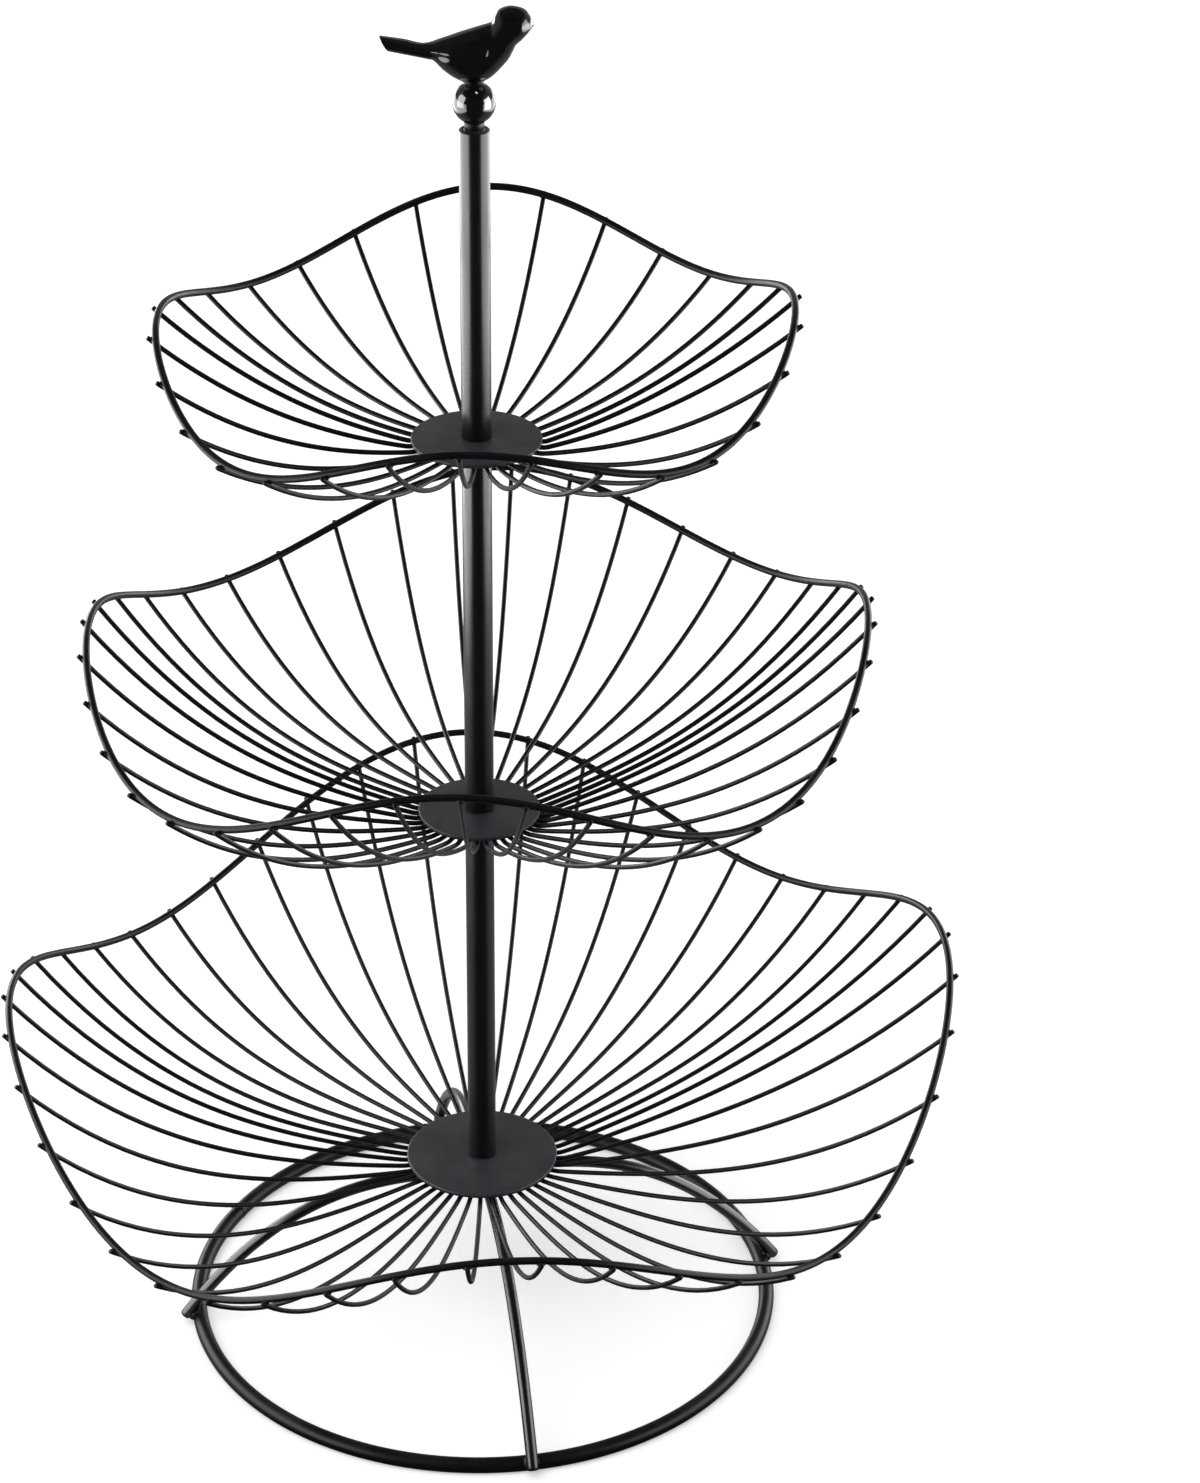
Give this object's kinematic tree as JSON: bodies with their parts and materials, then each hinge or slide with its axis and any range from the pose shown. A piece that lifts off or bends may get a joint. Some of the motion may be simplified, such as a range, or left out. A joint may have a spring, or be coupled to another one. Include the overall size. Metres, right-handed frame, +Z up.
{
  "type": "tiered fruit basket",
  "caption": "Three-tier wire fruit basket: wavy-rimmed bowls of curved ribs that turn on a central pole, with a ring base on arched legs and a bird on top.",
  "frame": {"origin": "centre of the base ring's underside, on the surface that the basket stands on", "axes": "+Z up the pole, +X the way the bird faces, -Y towards the viewer of the picture"},
  "size_m": [0.3233, 0.3234, 0.4701],
  "materials": {
    "gloss_black": "gloss black paint over steel",
    "satin_grey": "satin dark grey paint over steel",
    "zinc": "zinc plated"
  },
  "bodies": {
    "root": {"base_ring": "gloss_black", "leg_right": "gloss_black", "leg_back": "gloss_black", "leg_left": "gloss_black", "leg_front": "gloss_black", "base_hub": "gloss_black", "base_washer": "zinc", "base_bolt": "zinc", "lower_tube": "gloss_black", "middle_tube": "gloss_black", "upper_tube": "gloss_black", "lower_tube_bottom_insert": "zinc", "lower_tube_top_insert": "zinc", "middle_tube_bottom_insert": "zinc", "middle_tube_top_insert": "zinc", "upper_tube_bottom_insert": "zinc", "upper_tube_top_insert": "zinc", "middle_stud": "zinc", "top_stud": "zinc", "finial_stud": "zinc", "finial_ball": "gloss_black", "bird": "gloss_black"},
    "bottom_basket": {"bottom_plate": "satin_grey", "bottom_rim": "gloss_black", "bottom_ribs_right": "gloss_black", "bottom_ribs_back": "gloss_black", "bottom_ribs_left": "gloss_black", "bottom_ribs_front": "gloss_black"},
    "middle_basket": {"middle_plate": "satin_grey", "middle_rim": "gloss_black", "middle_ribs_right": "gloss_black", "middle_ribs_back": "gloss_black", "middle_ribs_left": "gloss_black", "middle_ribs_front": "gloss_black"},
    "top_basket": {"top_plate": "satin_grey", "top_rim": "gloss_black", "top_ribs_right": "gloss_black", "top_ribs_back": "gloss_black", "top_ribs_left": "gloss_black", "top_ribs_front": "gloss_black"}
  },
  "joints": [
    {"name": "bottom_swivel", "type": "hinge", "parent": "root", "child": "bottom_basket", "pos_m": [0, 0, 0.0587], "axis": [0, 0, 1], "continuous": true},
    {"name": "middle_swivel", "type": "hinge", "parent": "root", "child": "middle_basket", "pos_m": [0, 0, 0.1953], "axis": [0, 0, 1], "continuous": true},
    {"name": "top_swivel", "type": "hinge", "parent": "root", "child": "top_basket", "pos_m": [0, 0, 0.329], "axis": [0, 0, 1], "continuous": true}
  ]
}
